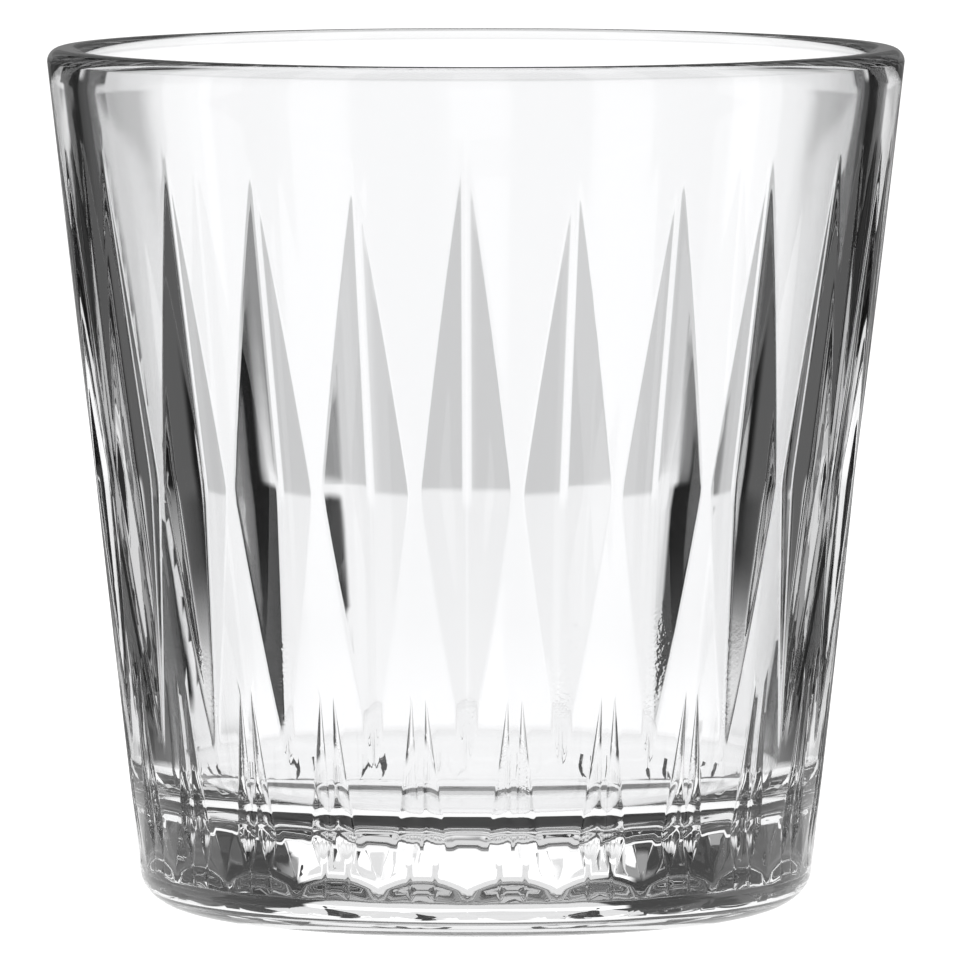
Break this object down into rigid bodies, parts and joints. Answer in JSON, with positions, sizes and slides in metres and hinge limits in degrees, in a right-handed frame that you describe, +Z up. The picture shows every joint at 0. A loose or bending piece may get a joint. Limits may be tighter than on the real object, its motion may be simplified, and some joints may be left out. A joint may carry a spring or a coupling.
{
  "type": "whiskey tumbler",
  "caption": "Tapered clear glass tumbler with a thick floor, a ring of tall kite-shaped V cuts and small twin cuts with flat facets above the foot.",
  "frame": {"origin": "centre of the flat face the tumbler stands on", "axes": "+Z up along the cup's axis; -Y is the front, where the tallest cut is; +X to the right seen from the front"},
  "size_m": [0.089, 0.089, 0.0895],
  "materials": {
    "clear_glass": "clear soda-lime glass, fire-polished, with faint mould ripple in the cuts"
  },
  "bodies": {
    "root": {"tumbler_glass": "clear_glass"}
  },
  "joints": []
}
